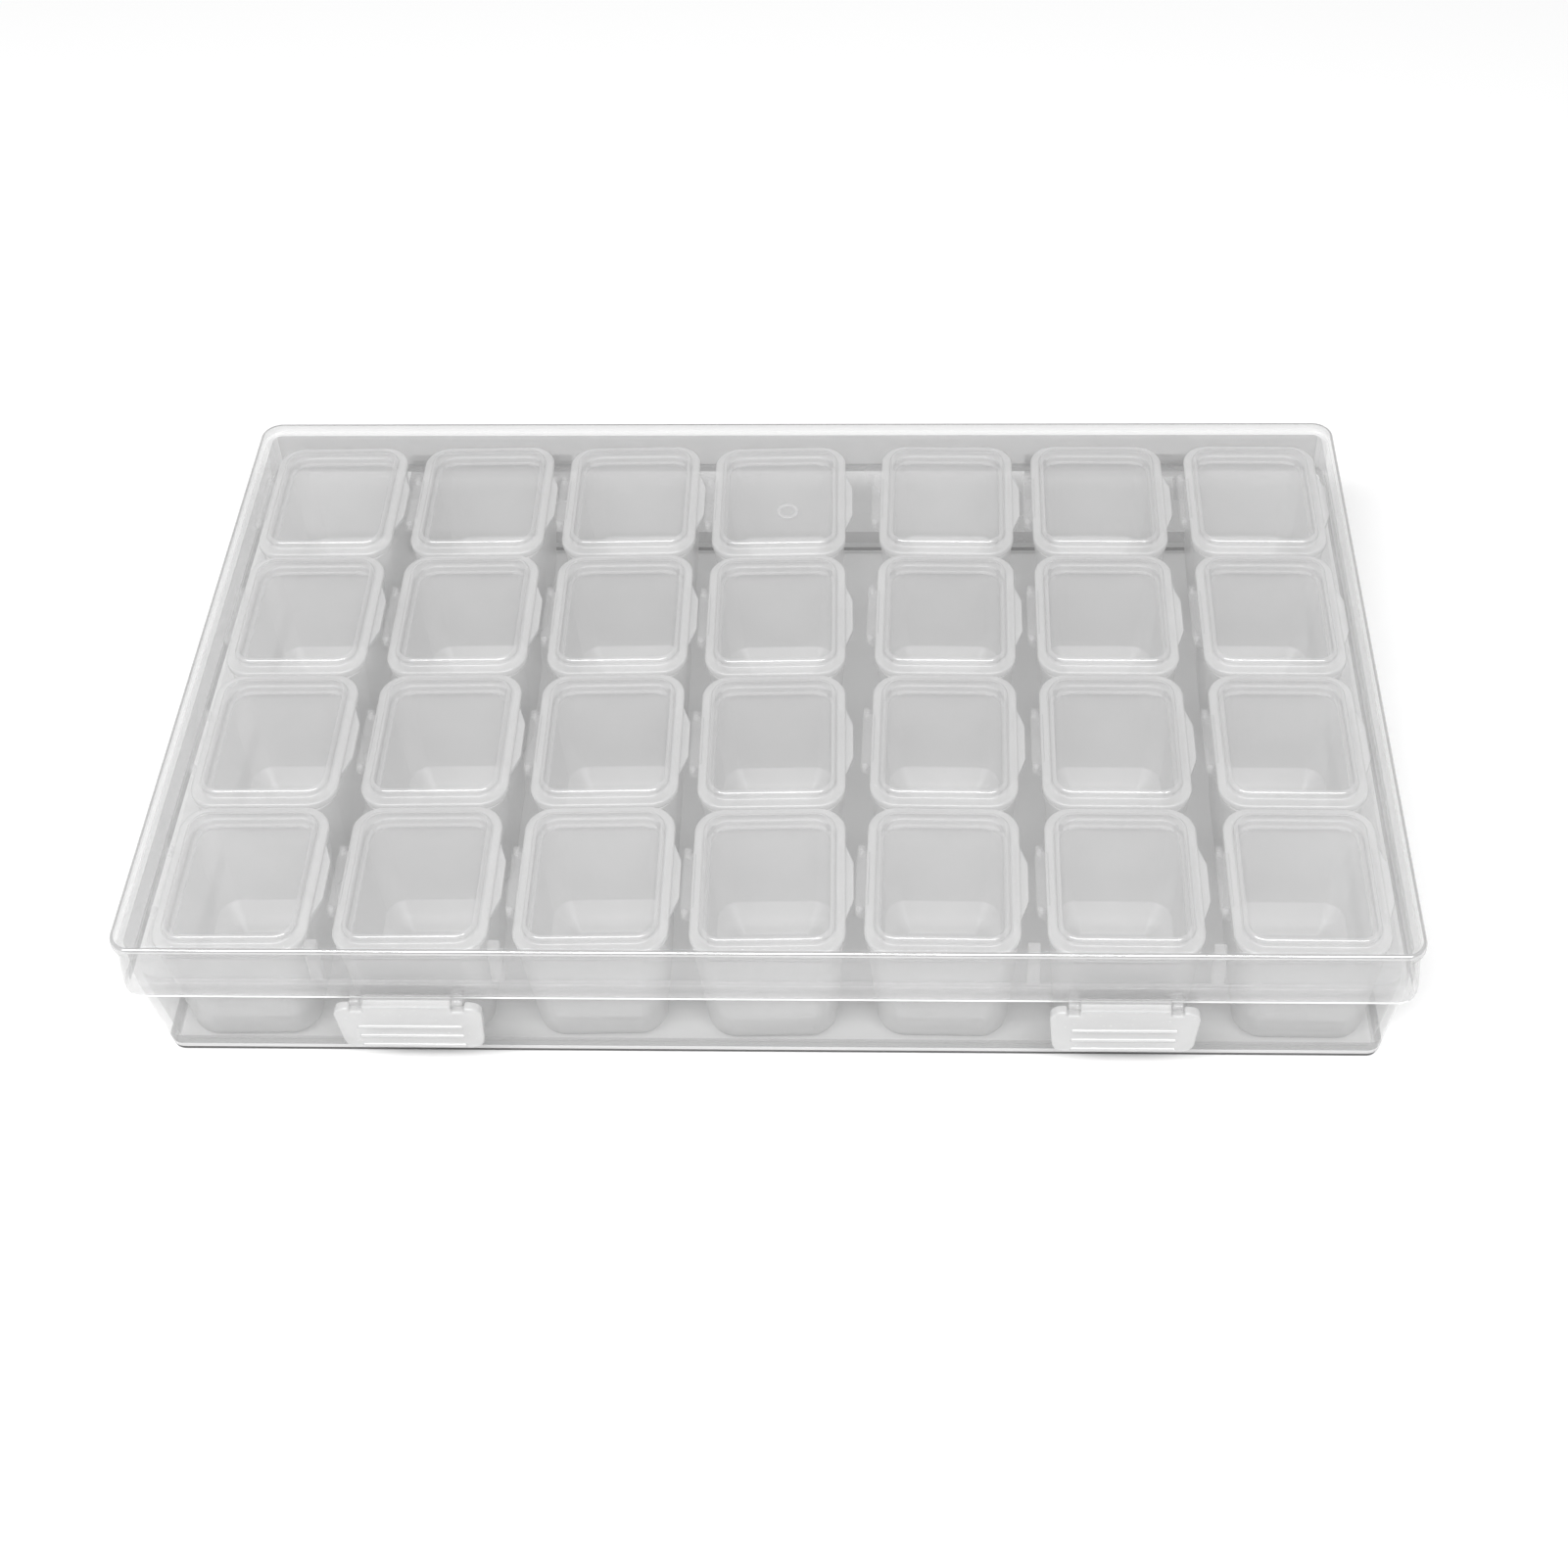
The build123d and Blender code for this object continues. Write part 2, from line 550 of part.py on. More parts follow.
# ---------------------------------------------------------------- cup lids
def cup_lid():
    """A flip lid: a plate with a raised window, a plug ring, a thumb tab and a pinned hinge edge."""
    plate = cut_corners(CUP_LID_WIDTH, CUP_LID_DEPTH, CUP_CORNER, OUTER_FLATS)
    window = cut_corners(WINDOW_WIDTH, WINDOW_DEPTH, WINDOW_CORNER, OUTER_FLATS)
    plug = plug_plan(CUP_WALL + PLUG_CLEARANCE)
    hollow = plug_plan(CUP_WALL + PLUG_CLEARANCE + PLUG_WALL)
    lid = slab(plate, LID_PLATE_BOTTOM, LID_PLATE_TOP) + slab(window, LID_PLATE_TOP, WINDOW_TOP)
    lid += slab(plug, PLUG_BOTTOM, LID_PLATE_BOTTOM)
    lid -= slab(hollow, PLUG_BOTTOM, WINDOW_TOP - WINDOW_WALL)
    return lid + thumb_tab() + hinge_tongue() + hinge_pins()


def plug_plan(inset):
    """The points of a plan that stands inside a cup's mouth, drawn in by inset."""
    width, depth = CUP_TOP_WIDTH - 2 * inset, CUP_TOP_DEPTH - 2 * inset
    return cut_corners(width, depth, CUP_CORNER - inset, INNER_FLATS)


def thumb_tab():
    """The tab at the middle of the plate's right edge, narrower at its tip."""
    edge = CUP_LID_WIDTH / 2
    points = [
        (edge - SINK, -TAB_LENGTH / 2),
        (edge, -TAB_LENGTH / 2),
        (edge + TAB_REACH, -TAB_TIP / 2),
        (edge + TAB_REACH, TAB_TIP / 2),
        (edge, TAB_LENGTH / 2),
        (edge - SINK, TAB_LENGTH / 2),
    ]
    return slab(points, LID_PLATE_BOTTOM, LID_PLATE_BOTTOM + TAB_THICKNESS)


def hinge_tongue():
    """The plate's left edge between the ears, rounded underneath about the hinge's axis."""
    half = CLIP_SPAN / 2 - CLIP_EAR - CLIP_END_GAP
    radius = CUP_LID_PLATE / 2
    right = -CUP_LID_WIDTH / 2 + SINK
    first = TONGUE_ARC / 2
    second = (90 - TONGUE_ARC) / 2
    profile = [
        (right, LID_PLATE_TOP),
        (CLIP_AXIS_X - radius, LID_PLATE_TOP),
        on_rim(CLIP_AXIS_X, CLIP_AXIS_Z, radius / math.cos(math.radians(first)), 180 + first),
        on_rim(CLIP_AXIS_X, CLIP_AXIS_Z, radius / math.cos(math.radians(second)), 270 - second),
        (right, LID_PLATE_BOTTOM),
    ]
    tongue = front_profile(profile, -half, half)
    low_left = tongue.edges().filter_by(Axis.Y).sort_by(Axis.X)[:2].sort_by(Axis.Z)[0]
    return fillet(low_left, radius)


def hinge_pins():
    """A square pin at each end of the tongue."""
    inner = CLIP_SPAN / 2 - CLIP_EAR - CLIP_END_GAP - SINK
    outer = CLIP_SPAN / 2 - CLIP_END_GAP
    half = CLIP_PIN / 2 / math.sqrt(2)
    across = (CLIP_AXIS_X - half, CLIP_AXIS_X + half)
    height = (CLIP_AXIS_Z - half, CLIP_AXIS_Z + half)
    return Part() + [block(across, ordered(side * inner, side * outer), height) for side in (-1, 1)]


# ---------------------------------------------------------------- assembly
def strip_location(number):
    """Where a strip lies: its even place, with its own shift and its slight turn."""
    shift_x, shift_y, front_shift = STRIP_LIES[number]
    x = (number - (STRIP_COUNT - 1) / 2) * STRIP_ROOM + shift_x
    turn = math.degrees(math.asin(front_shift / (STRIP_LENGTH / 2)))
    return Pos(x, shift_y, 0) * Rot(0, 0, turn)


def build():
    """Every piece by its name, where it sits."""
    nodes = {
        "case_base": case_base(),
        "case_lid": case_lid(),
        "latch_left": latch(-LATCH_X),
        "latch_right": latch(LATCH_X),
    }
    one_strip = strip()
    one_lid = cup_lid()
    for number in range(STRIP_COUNT):
        place = strip_location(number)
        nodes[f"strip_{number + 1}"] = place * one_strip
        for cup_number, y in enumerate(cup_positions()):
            nodes[f"cup_lid_{number + 1}_{cup_number + 1}"] = place * Pos(0, y, 0) * one_lid
    return nodes


def write(nodes):
    """One STEP file for each piece."""
    os.makedirs("parts", exist_ok=True)
    for name, shape in nodes.items():
        shape.label = name
        export_step(shape, f"parts/{name}.step")


write(build())
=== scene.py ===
"""Clear storage case with seven strips of flip-lid cups, shaped and lit for a picture.

Shapes are drawn in millimetres and scaled to metres when a piece is finished. The case is drawn in place,
and its latches are drawn at its middle and moved sideways. A strip and a cup lid are drawn once around the
origin and copied to their places.
"""

import json
import math

import bmesh
import bpy
from mathutils import Matrix, Vector


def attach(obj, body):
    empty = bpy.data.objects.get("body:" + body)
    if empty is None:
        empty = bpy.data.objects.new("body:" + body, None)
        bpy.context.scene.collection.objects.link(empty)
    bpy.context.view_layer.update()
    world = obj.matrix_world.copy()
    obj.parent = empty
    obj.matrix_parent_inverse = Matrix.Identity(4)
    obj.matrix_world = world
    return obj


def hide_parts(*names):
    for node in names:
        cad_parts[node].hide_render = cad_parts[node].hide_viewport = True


MM = 0.001
CORNER_STEPS = 8  # edges in each rounded corner
SHARP = math.radians(33)  # edges that turn more than this are softened
PANEL, WALL, EDGE, PAINTED_HIGHLIGHT, PAINTED_SHADOW_LINE, RIB, PAINTED_LIT_SIDE, PAINTED_LOW_SHADE, HINGE, PAINTED_BACK_SHADE = range(10)  # the case's finishes: lit and shaded copies of one clear plastic, with painted light and shade
UPRIGHT = 0.5  # the most that an upright face's normal rises or falls
FACING = 0.7  # the least that a normal has of the direction its face is said to face

# Case: its plan at the lid's lip
CASE_WIDTH = 175.0
CASE_DEPTH = 107.5
LID_CORNER, BASE_CORNER = 3.2, 5.0
CASE_TOP = 26.5
LOW_HEIGHT = 4.2  # painted shade: the darker foot of the tray's front and back walls
BACK_DEPTH = 1.9  # the inner face of the lid's back wall, which takes painted shade, lies within this of the lip
WALLS_FROM, WALLS_TO = 1.3, CASE_TOP - 1.5  # above the tray's floor and below the lid's panel
SKIRT_ROOT = CASE_DEPTH / 2 - 0.4  # ears and webs start inside the lid's skirt

# Case hinges: a barrel with two pins on the lid, between two lugs on the tray
HINGE_X, HINGE_Y, HINGE_Z = 51.5, 56.0, 15.0
BARREL_RADIUS, BARREL_HALF = 1.9, 11.2
PIN_RADIUS, PIN_HALF = 0.9, 13.2
LUG_BORE, LUG_LENGTH = 0.95, 2.0
LUG_PLACES = (-13.4, 11.4)  # the low end of each lug, from the middle of its hinge
LUG_ROOT = ((52.12, 15.0), (51.64, 11.2))  # (y, z) on the tray's back wall
WEB_ROOT_LOW, WEB_ROOT_HIGH = 16.2, 18.5  # where a barrel's web starts on the skirt
WEB_END = (57.517, 16.143)  # (y, z) where its upper face meets the barrel

# Latches, hung from ears on the lid
LATCH_X, LATCH_Y, LATCH_Z = 48.186, -55.0, 17.4
LATCH_FACE, LATCH_THICK = -56.0, 1.4
LEAN_IN, LEAN_HEIGHT = 0.5, 9.9  # the plate leans in by this much over this height
LATCH_LEAN = math.atan2(LEAN_IN, LEAN_HEIGHT)
LATCH_EAR, LATCH_EAR_HALF = 6.9, 0.7
LATCH_EAR_RADIUS, LATCH_EAR_BORE = 1.0, 0.6
FRONT_ARC, BACK_ARC = (90, 270), (-60, 180)  # degrees that stay round on a latch's ear and on a lug
HOOK_HALF = 6.3  # half the width of a hook and of its catch
HOOK_OUTLINE = ((-53.56, 10.65), (-54.8, 11.0), (-54.8, 8.9), (-53.56, 9.95))
CATCH_OUTLINE = ((-51.74, 13.4), (-53.51, 12.35), (-53.51, 11.65), (-51.74, 11.3))

# Locating ribs inside the lid's front wall, beside each latch
RIB_PLACE, RIB_HALF = 12.27, 0.85
RIB_DEPTHS, RIB_HEIGHTS = (-52.6, -50.85), (18.5, 25.7)

# Each ring of the case's walls: drawn in from the lip, and height
LID_RINGS = (
    (1.6, 25.3),
    (1.6, 18.35),
    (0.8, 18.35),
    (0.8, 16.2),
    (0, 16.2),
    (0, 16.8),
    (0, 18.0),
    (0.6, 24.4),
    (0, 24.9),
    (0, CASE_TOP),
)
BASE_RINGS = (
    (4.0, 1.2),
    (2.0, 16.2),
    (2.0, 18.2),
    (0.95, 18.2),
    (0.95, 16.2),
    (2.469, 4.2),
    (2.760, 1.9),
    (2.874, 1.0),
    (2.95, 0.4),
    (3.35, 0),
)

# Cups
CUP_WIDTH, CUP_DEPTH, CUP_CORNER = 20.643, 25.5, 4.0
CUP_TOP, CUP_FOOT = 21.9, 1.2
CUP_DRAFT_SIDE, CUP_DRAFT_END = 1.4, 1.9
CUP_WALL, CUP_FLOOR = 0.9, 1.0
CUP_PITCH = 25.7
WEB_HALF, WEB_THICK, WEB_HEIGHTS = 4.5, 1.0, (14.9, 21.85)  # between neighbouring cups
CLIP_PLACES, CLIP_LENGTH = (-5.8, 4.8), 1.0  # the front of each ear, from its cup's middle
FOOT_ROUND, FOOT_CHAMFER = 1.8, 3.2  # a cup's foot, rounded outside and chamfered inside

# Cup lids
FLIP_WIDTH, FLIP_DEPTH = 21.143, 25.4
AXIS_OUT = 0.75  # hinge axis beyond the plate's left edge
AXIS_X = -FLIP_WIDTH / 2 - AXIS_OUT
AXIS_Z = 22.65
PLATE_LOW, PLATE_HIGH = 22.0, 23.3
PLUG_LOW = 20.9
WINDOW_HIGH, WINDOW_THICK = 24.4, 1.0
PLATE_PLAN = (FLIP_WIDTH, FLIP_DEPTH, 4.0)  # each plan: width, depth and corner
PLUG_PLAN = (18.14, 23.0, 3.3)
HOLLOW_PLAN = (16.54, 21.4, 2.8)
RAISED_PLAN = (18.443, 22.4, 3.0)
WINDOW_HALF_WIDTH, WINDOW_HALF_DEPTH = 8.3, 10.7  # the part of a lid that is clear
TONGUE_OUT, TONGUE_HALF = 0.65, 4.7  # the hinge edge beyond the axis, and half its length
FLIP_PIN_HALF, FLIP_PIN_FROM, FLIP_PIN_TO = 0.21, 4.5, 5.7  # half a square pin's side, and its two ends


# ---------------------------------------------------------------- rings and solids
def quarters(verts):
    """The verts of each corner of a ring that stands around the origin, with the corner's signs."""
    for side_x, side_y in ((1, 1), (-1, 1), (-1, -1), (1, -1)):
        yield side_x, side_y, [v for v in verts if v.co.x * side_x > 0 and v.co.y * side_y > 0]


def first_ring(bm, width, depth, corner, height):
    """A rounded rectangle: a circle whose quarters are moved apart."""
    segments = 4 * CORNER_STEPS
    half_step = math.pi / segments
    circle = bmesh.ops.create_circle(bm, segments=segments, radius=corner / math.cos(half_step))
    verts = circle["verts"]
    bmesh.ops.rotate(bm, verts=verts, matrix=Matrix.Rotation(half_step, 3, "Z"))
    for side_x, side_y, own in quarters(verts):
        move = Vector((side_x * (width / 2 - corner), side_y * (depth / 2 - corner), height))
        bmesh.ops.translate(bm, verts=own, vec=move)
    return verts


def next_ring(bm, verts, before, after):
    """Extrudes a ring and reshapes the new one from the section before to the section after."""
    inside = set(verts)
    edges = [e for e in bm.edges if e.verts[0] in inside and e.verts[1] in inside]
    made = bmesh.ops.extrude_edge_only(bm, edges=edges)["geom"]
    new_verts = [item for item in made if isinstance(item, bmesh.types.BMVert)]
    old_width, old_depth, old_corner, old_height = before
    width, depth, corner, height = after
    grow = corner / old_corner
    for side_x, side_y, own in quarters(new_verts):
        centre = Vector((side_x * (old_width / 2 - old_corner), side_y * (old_depth / 2 - old_corner), 0))
        target = Vector((side_x * (width / 2 - corner), side_y * (depth / 2 - corner), 0))
        bmesh.ops.scale(bm, verts=own, vec=(grow, grow, 1), space=Matrix.Translation(-centre))
        bmesh.ops.translate(bm, verts=own, vec=target - centre + Vector((0, 0, height - old_height)))
    return new_verts


def cap(bm, verts):
    """Closes an open ring with a face."""
    inside = set(verts)
    edges = [e for e in bm.edges if e.verts[0] in inside and e.verts[1] in inside and len(e.link_faces) < 2]
    bmesh.ops.contextual_create(bm, geom=edges)


def form_of_rings(sections):
    """A closed form through (width, depth, corner, height) sections, capped at both ends."""
    bm = bmesh.new()
    verts = first_ring(bm, *sections[0])
    cap(bm, verts)
    for before, after in zip(sections, sections[1:]):
        verts = next_ring(bm, verts, before, after)
    cap(bm, verts)
    bmesh.ops.recalc_face_normals(bm, faces=bm.faces)
    return bm


def case_section(inset, height, corner):
    """The case's outline, drawn in from its lip."""
    return CASE_WIDTH - 2 * inset, CASE_DEPTH - 2 * inset, max(corner - inset, 0.4), height


def soften(bm, width, segments=3, sharp=SHARP, edge_finish=0, above=-100.0):
    """Rounds every sharp edge above a height, and gives the rounded edges their finish."""
    edges = [
        e
        for e in bm.edges
        if len(e.link_faces) == 2 and e.calc_face_angle() > sharp and min(v.co.z for v in e.verts) > above
    ]
    rounded = bmesh.ops.bevel(
        bm,
        geom=edges,
        offset=width,
        offset_type="OFFSET",
        segments=segments,
        profile=0.5,
        affect="EDGES",
        clamp_overlap=True,
        material=-1,
    )
    for face in rounded["faces"]:
        face.material_index = edge_finish
    bmesh.ops.recalc_face_normals(bm, faces=bm.faces)
    return bm


def round_corners(bm, width, chosen, segments=4):
    """Rounds the chosen corners of a flat outline."""
    bmesh.ops.bevel(
        bm,
        geom=[v for v in bm.verts if chosen(v.co)],
        offset=width,
        offset_type="OFFSET",
        segments=segments,
        profile=0.5,
        affect="VERTICES",
        clamp_overlap=True,
        material=-1,
    )


def flat_outline(points, plane):
    """A face through a few points, given in one of the planes XY, YZ or XZ."""
    bm = bmesh.new()
    place = {"XY": lambda a, b: (a, b, 0), "YZ": lambda a, b: (0, a, b), "XZ": lambda a, b: (a, 0, b)}[plane]
    bm.faces.new([bm.verts.new(place(a, b)) for a, b in points])
    return bm


def thicken(bm, along, low, high):
    """Extrudes a flat outline from one place to another along an axis."""
    bmesh.ops.translate(bm, verts=bm.verts, vec=along * low)
    made = bmesh.ops.extrude_face_region(bm, geom=list(bm.faces))["geom"]
    moved = [item for item in made if isinstance(item, bmesh.types.BMVert)]
    bmesh.ops.translate(bm, verts=moved, vec=along * (high - low))
    bmesh.ops.recalc_face_normals(bm, faces=bm.faces)
    return bm


ALONG_X, ALONG_Y, ALONG_Z = Vector((1, 0, 0)), Vector((0, 1, 0)), Vector((0, 0, 1))


def bar(points, plane, low, high, softened=0.12):
    """A softened bar with a given outline."""
    along = {"XY": ALONG_Z, "YZ": ALONG_X, "XZ": ALONG_Y}[plane]
    return soften(thicken(flat_outline(points, plane), along, low, high), softened, segments=2)


def brick(x, y, z, softened=0.1):
    """A softened block from three (low, high) pairs."""
    return bar([(x[0], y[0]), (x[1], y[0]), (x[1], y[1]), (x[0], y[1])], "XY", z[0], z[1], softened)


def turned(profile, y, z, segments=40):
    """A round form turned about a line along X, from (x, radius) points that start and end on it."""
    bm = bmesh.new()
    verts = [bm.verts.new((x, radius, 0)) for x, radius in profile]
    edges = [bm.edges.new(pair) for pair in zip(verts, verts[1:])]
    bmesh.ops.spin(
        bm,
        geom=verts + edges,
        cent=(0, 0, 0),
        axis=ALONG_X,
        angle=2 * math.pi,
        steps=segments,
        use_merge=True,
    )
    bmesh.ops.remove_doubles(bm, verts=bm.verts, dist=0.0005)
    bmesh.ops.translate(bm, verts=bm.verts, vec=(0, y, z))
    bmesh.ops.recalc_face_normals(bm, faces=bm.faces)
    return bm


def upright_circle(bm, y, z, radius, segments):
    """A circle around a line along X."""
    circle = bmesh.ops.create_circle(bm, segments=segments, radius=radius)
    verts = circle["verts"]
    upright = Matrix.Translation((0, y, z)) @ Matrix.Rotation(math.radians(90), 4, "Y")
    bmesh.ops.transform(bm, matrix=upright, verts=verts)
    return verts


def ring_edges(verts):
    return list({e for v in verts for e in v.link_edges})


def ear(y, z, radius, bore, root, arc, low, high, segments=36):
    """A lug with a bore: outside its arc, its outer ring is drawn onto the root line."""
    bm = bmesh.new()
    outer = upright_circle(bm, y, z, radius, segments)
    start, end = arc
    spare = []
    for vert in outer:
        angle = math.degrees(math.atan2(vert.co.z - z, vert.co.y - y)) % 360
        turn = (angle - start) % 360
        if turn > (end - start) + 0.1:
            spare.append((turn, vert))
    spare.sort(key=lambda item: item[0])
    (first_y, first_z), (last_y, last_z) = root
    for number, (_, vert) in enumerate(spare):
        share = number / (len(spare) - 1)
        vert.co.y = first_y + (last_y - first_y) * share
        vert.co.z = first_z + (last_z - first_z) * share
    inner = upright_circle(bm, y, z, bore, segments)
    bmesh.ops.bridge_loops(bm, edges=ring_edges(outer) + ring_edges(inner))
    return soften(thicken(bm, ALONG_X, low, high), 0.15, segments=2, sharp=math.radians(50))


def joined(parts):
    """One bmesh from several, each freed."""
    whole = bmesh.new()
    for part in parts:
        scratch = bpy.data.meshes.new("scratch")
        part.to_mesh(scratch)
        part.free()
        whole.from_mesh(scratch)
        bpy.data.meshes.remove(scratch)
    return whole


def give_finish(bm, finish):
    for face in bm.faces:
        face.material_index = finish


def moved_copy(bm, where):
    copy = bm.copy()
    bmesh.ops.transform(copy, matrix=where, verts=copy.verts)
    return copy


def finish_piece(bm, name, body, node, materials):
    """Makes an object of a form in millimetres, with its place in its mesh."""
    bmesh.ops.scale(bm, verts=bm.verts, vec=(MM, MM, MM))
    mesh = bpy.data.meshes.new(name)
    bm.to_mesh(mesh)
    bm.free()
    mesh.polygons.foreach_set("use_smooth", [True] * len(mesh.polygons))
    piece = bpy.data.objects.new(name, mesh)
    bpy.context.scene.collection.objects.link(piece)
    for material in materials:
        mesh.materials.append(material)
    weighted = piece.modifiers.new("weighted normals", "WEIGHTED_NORMAL")
    weighted.weight = 80
    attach(piece, body)
    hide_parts(node)
    return piece


# ---------------------------------------------------------------- case
def shell_finish(face, lit):
    """The finish of a shell's face, from its place and the way it faces: copies of one clear plastic that
    paint light and shade.
    """
    low, high, inside = lit
    middle, normal = face.calc_center_median(), face.normal
    at_side = abs(middle.x) > CASE_WIDTH / 2 - inside
    outer = at_side or abs(middle.y) > CASE_DEPTH / 2 - inside
    upright = abs(normal.z) < UPRIGHT
    # Painted highlight: a near-white band along the lower edge of the outside.
    if outer and low < middle.z < high:
        return PAINTED_HIGHLIGHT
    off_the_ground = middle.z > 0.01
    # Below the band: painted highlight at the sides, and a painted shadow line at the front and back.
    if outer and off_the_ground and middle.z < low:
        return PAINTED_HIGHLIGHT if at_side else PAINTED_SHADOW_LINE
    # Painted shade: the foot of the outside's front and back walls is darker.
    if outer and upright and middle.z < LOW_HEIGHT and not at_side:
        return PAINTED_LOW_SHADE
    # Painted shade: the inner face of the lid's back wall is dark.
    if upright and normal.y < -FACING and middle.y > CASE_DEPTH / 2 - BACK_DEPTH:
        return PAINTED_BACK_SHADE
    if face.material_index == EDGE:
        return EDGE
    # Painted light: faces that look to the sides, or out at the back, take a lighter copy.
    faces_out_at_back = middle.y > 0 and normal.y > 0
    if upright and (abs(normal.x) > FACING or faces_out_at_back):
        return PAINTED_LIT_SIDE
    # Painted shade: upright faces, and faces at the walls' heights, take the darker wall copy. The rest take
    # the panel, which on the tray is its floor, painted lighter.
    return WALL if upright or WALLS_FROM < middle.z < WALLS_TO else PANEL


def shell(rings, corner, softened, lit):
    """A shell of the case. Its band of painted highlight lies between two heights, within a distance of the
    outside.
    """
    form = form_of_rings([case_section(*ring, corner) for ring in rings])
    soften(form, 0.55, segments=5, edge_finish=EDGE, above=CASE_TOP - 0.1)
    soften(form, softened)
    for face in form.faces:
        face.material_index = shell_finish(face, lit)
    return form


def case_lid_form():
    """The clear lid: panel, lip, walls and skirt, with its barrels, lugs and ribs."""
    # lit: the lid's band of painted highlight, its lowest and highest height and its reach in from the
    # outside.
    parts = [shell(LID_RINGS, LID_CORNER, softened=0.38, lit=(16.0, 16.8, 0.35))]
    for side in (-1, 1):
        parts += lid_barrel(side * HINGE_X)
        for across in (-1, 1):
            parts.append(latch_ear(side * LATCH_X + across * LATCH_EAR))
            parts.append(locating_rib(side * LATCH_X + across * RIB_PLACE))
    return joined(parts)


def latch_ear(middle):
    """An ear on the lid's skirt, bored for a latch's pin."""
    root = ((-SKIRT_ROOT, 16.3), (-SKIRT_ROOT, 18.4))
    low, high = middle - LATCH_EAR_HALF, middle + LATCH_EAR_HALF
    return ear(LATCH_Y, LATCH_Z, LATCH_EAR_RADIUS, LATCH_EAR_BORE, root, FRONT_ARC, low, high)


def locating_rib(middle):
    """An upright rib inside the lid's front wall."""
    rib = brick((middle - RIB_HALF, middle + RIB_HALF), RIB_DEPTHS, RIB_HEIGHTS, 0.2)
    give_finish(rib, RIB)
    return rib


def lid_barrel(middle):
    """A hinge barrel with its two pins, and its web to the skirt."""
    pin_break, barrel_break = 0.15, 0.2
    right_half = [
        (BARREL_HALF - barrel_break, BARREL_RADIUS),
        (BARREL_HALF, BARREL_RADIUS - barrel_break),
        (BARREL_HALF, PIN_RADIUS),
        (PIN_HALF - pin_break, PIN_RADIUS),
        (PIN_HALF, PIN_RADIUS - pin_break),
        (PIN_HALF, 0),
    ]
    profile = [(middle - x, radius) for x, radius in reversed(right_half)]
    profile += [(middle + x, radius) for x, radius in right_half]
    web = [(SKIRT_ROOT, WEB_ROOT_LOW), (HINGE_Y, HINGE_Z), WEB_END, (SKIRT_ROOT, WEB_ROOT_HIGH)]
    parts = [
        turned(profile, HINGE_Y, HINGE_Z),
        bar(web, "YZ", middle - BARREL_HALF, middle + BARREL_HALF),
    ]
    for part in parts:
        give_finish(part, HINGE)
    return parts


def case_base_form():
    """The clear tray with its hinge lugs and the two catches."""
    # lit: the tray's band of painted highlight, its lowest and highest height and its reach in from the
    # outside.
    parts = [shell(BASE_RINGS, BASE_CORNER, softened=0.15, lit=(1.0, 1.9, 3.5))]
    for side in (-1, 1):
        for place in LUG_PLACES:
            low = side * HINGE_X + place
            high = low + LUG_LENGTH
            lug = ear(HINGE_Y, HINGE_Z, BARREL_RADIUS, LUG_BORE, LUG_ROOT, BACK_ARC, low, high)
            give_finish(lug, HINGE)
            parts.append(lug)
        middle = side * LATCH_X
        parts.append(bar(CATCH_OUTLINE, "YZ", middle - HOOK_HALF, middle + HOOK_HALF))
    return joined(parts)


# ---------------------------------------------------------------- latches
LATCH_OUTLINE = (
    (-9.5, 7.5),
    (9.5, 7.5),
    (10.2, 17.0),
    (7.75, 17.0),
    (7.75, 16.15),
    (6.05, 16.15),
    (6.05, 17.4),
    (-6.05, 17.4),
    (-6.05, 16.15),
    (-7.75, 16.15),
    (-7.75, 17.0),
    (-10.2, 17.0),
)
LATCH_BARREL = ((5.9, 1.0), (6.05, 0.85), (6.05, 0.55), (7.6, 0.5), (7.6, 0))  # (x, radius) of its right half
PAD_TOP, PAD_PITCH, PAD_RIDGES = 13.2, 2.2, 3
RIDGE_HALF, RIDGE_HEIGHT, RIDGE_PROUD, RIDGE_SUNK = 7.1, 1.0, 0.2, 0.3
BARREL_SHADE = 1  # the finish of a latch's barrel: painted shade, a clearer copy of the latch's plastic so that the barrel catches less light


def latch_form(middle):
    """A frosted latch: leaning plate, barrel with pins, ridged thumb pad and hook."""
    plate = flat_outline(LATCH_OUTLINE, "XZ")
    round_corners(plate, 1.8, lambda co: abs(co.x) > 9)
    thicken(plate, ALONG_Y, 0, LATCH_THICK)
    soften(plate, 0.3)
    lean = Matrix.Translation((0, LATCH_FACE, LATCH_Z)) @ Matrix.Rotation(LATCH_LEAN, 4, "X")
    bmesh.ops.transform(plate, matrix=lean @ Matrix.Translation((0, 0, -LATCH_Z)), verts=plate.verts)
    hook = bar(HOOK_OUTLINE, "YZ", -HOOK_HALF, HOOK_HALF)
    left_half = [(-x, radius) for x, radius in reversed(LATCH_BARREL)]
    barrel = turned([*left_half, *LATCH_BARREL], LATCH_Y, LATCH_Z)
    give_finish(barrel, BARREL_SHADE)
    parts = [plate, hook, barrel]
    for number in range(PAD_RIDGES):
        parts.append(pad_ridge(PAD_TOP - PAD_PITCH * number))
    whole = joined(parts)
    bmesh.ops.translate(whole, verts=whole.verts, vec=(middle, 0, 0))
    return whole


def face_y(height):
    """The leaning outer face of a latch, at a height."""
    return LATCH_FACE + LEAN_IN * (LATCH_Z - height) / LEAN_HEIGHT


